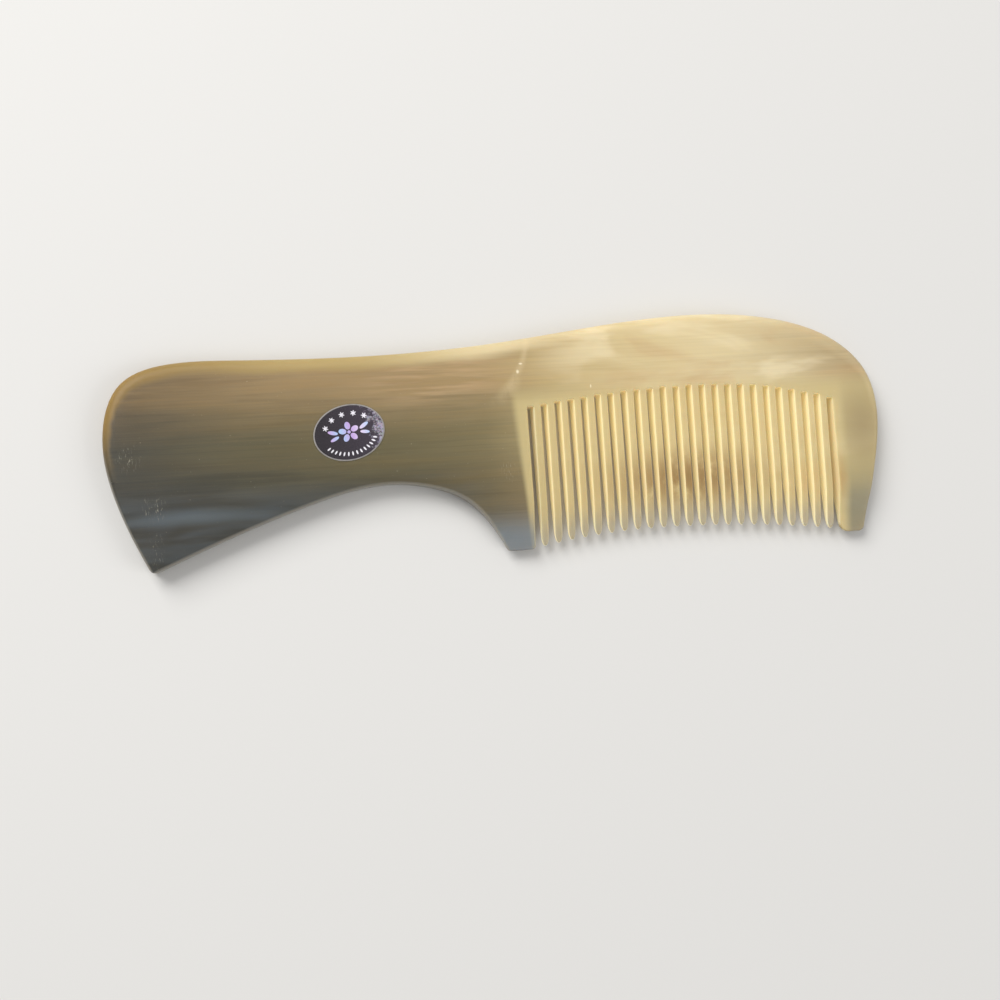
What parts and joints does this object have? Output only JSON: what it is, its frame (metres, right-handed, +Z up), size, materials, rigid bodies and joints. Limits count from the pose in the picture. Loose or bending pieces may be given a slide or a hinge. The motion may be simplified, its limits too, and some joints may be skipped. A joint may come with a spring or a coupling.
{
  "type": "wide tooth comb",
  "caption": "Flat handled comb of polished horn: curved back, finger recess under the handle, a row of long ground teeth between two wide guards, and a small oval foil label.",
  "frame": {"origin": "under the middle of the comb's outline, in the plane of the flat face it lies on", "axes": "comb lying flat: +X along its length from the butt of the handle to the nose of the head, +Y from the tooth tips to the back, +Z up through the plate"},
  "size_m": [0.1798, 0.0537, 0.0053],
  "materials": {
    "horn": "hand-polished translucent horn",
    "label_foil": "glossy iridescent foil film",
    "label_glue": "clear pressure-sensitive adhesive"
  },
  "bodies": {
    "root": {"back": "horn", "front_guard": "horn", "handle": "horn", "heel_guard": "horn", "label_adhesive": "label_glue", "label_film": "label_foil", "tooth_01": "horn", "tooth_02": "horn", "tooth_03": "horn", "tooth_04": "horn", "tooth_05": "horn", "tooth_06": "horn", "tooth_07": "horn", "tooth_08": "horn", "tooth_09": "horn", "tooth_10": "horn", "tooth_11": "horn", "tooth_12": "horn", "tooth_13": "horn", "tooth_14": "horn", "tooth_15": "horn", "tooth_16": "horn", "tooth_17": "horn", "tooth_18": "horn", "tooth_19": "horn", "tooth_20": "horn", "tooth_21": "horn", "tooth_22": "horn", "tooth_23": "horn"}
  },
  "joints": []
}
